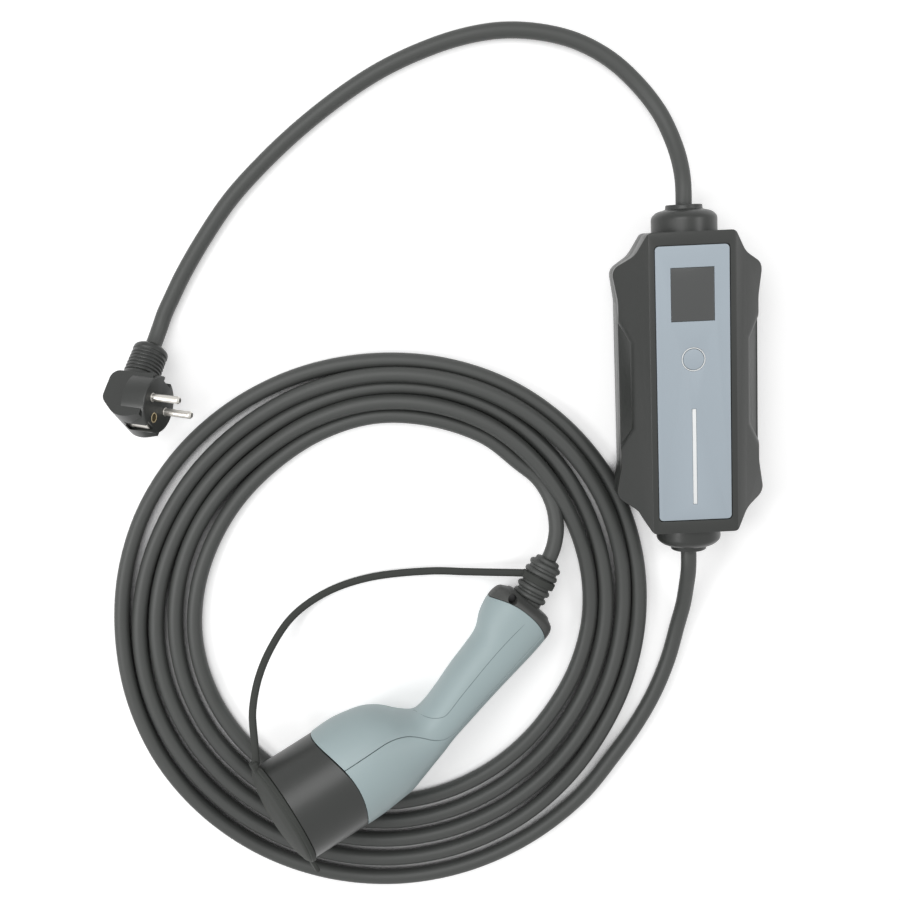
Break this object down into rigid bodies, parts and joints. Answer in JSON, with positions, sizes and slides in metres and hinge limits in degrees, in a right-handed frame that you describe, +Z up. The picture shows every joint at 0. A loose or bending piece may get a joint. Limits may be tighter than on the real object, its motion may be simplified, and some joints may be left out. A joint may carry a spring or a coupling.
{
  "type": "portable ev charger",
  "caption": "Portable charger for electric cars: chamfered control box with display and button, mains plug lead, and a coiled cable ending in a hand-held connector with a tethered dust cap.",
  "frame": {"origin": "centre of the control box's flat back, on the table", "axes": "+Y along the box towards the mains lead, +Z up out of the display side, +X to the box's right as seen from above"},
  "size_m": [0.4327, 0.5734, 0.0821],
  "materials": {
    "black_plastic": "satin black moulded plastic",
    "dark_plastic": "dark moulded plastic of inner pieces",
    "blue_grey_plastic": "fine-grained blue-grey moulded plastic",
    "cable_rubber": "matt black cable sheath",
    "cap_rubber": "soft black rubber",
    "light_plastic": "white light guide",
    "display_plastic": "dark clear window",
    "board": "green circuit board",
    "plated_steel": "bright plated metal"
  },
  "bodies": {
    "charger": {"front_shell": "black_plastic", "back_shell": "black_plastic", "shell_seal": "cap_rubber", "front_panel": "blue_grey_plastic", "display_window": "display_plastic", "button_ring": "light_plastic", "light_bar": "light_plastic", "display_board": "board", "display_module": "dark_plastic", "button_switch": "dark_plastic", "main_board": "board", "relays": "dark_plastic", "current_sensor": "dark_plastic", "power_module": "dark_plastic", "terminal_blocks": "dark_plastic", "board_screws": "plated_steel", "shell_screws": "plated_steel", "gland_in": "black_plastic", "gland_out": "black_plastic", "mains_lead": "cable_rubber", "output_lead": "cable_rubber", "cable_coil": "cable_rubber", "gun_lead": "cable_rubber", "plug_body": "black_plastic", "plug_pins": "plated_steel", "plug_earth": "plated_steel", "gun_shell": "blue_grey_plastic", "gun_underside": "blue_grey_plastic", "nose_housing": "black_plastic", "contact_insert": "dark_plastic", "contacts": "plated_steel", "dust_cap": "cap_rubber", "cap_strap": "cap_rubber", "tail_collar": "black_plastic", "collar_screw": "plated_steel", "cable_boot": "cable_rubber"},
    "button": {"button_cap": "blue_grey_plastic"}
  },
  "joints": [
    {"name": "button_press", "type": "slide", "parent": "charger", "child": "button", "axis": [0, 0, -1], "range_m": [0, 0.0008], "stiffness_N_per_m": 2500}
  ]
}
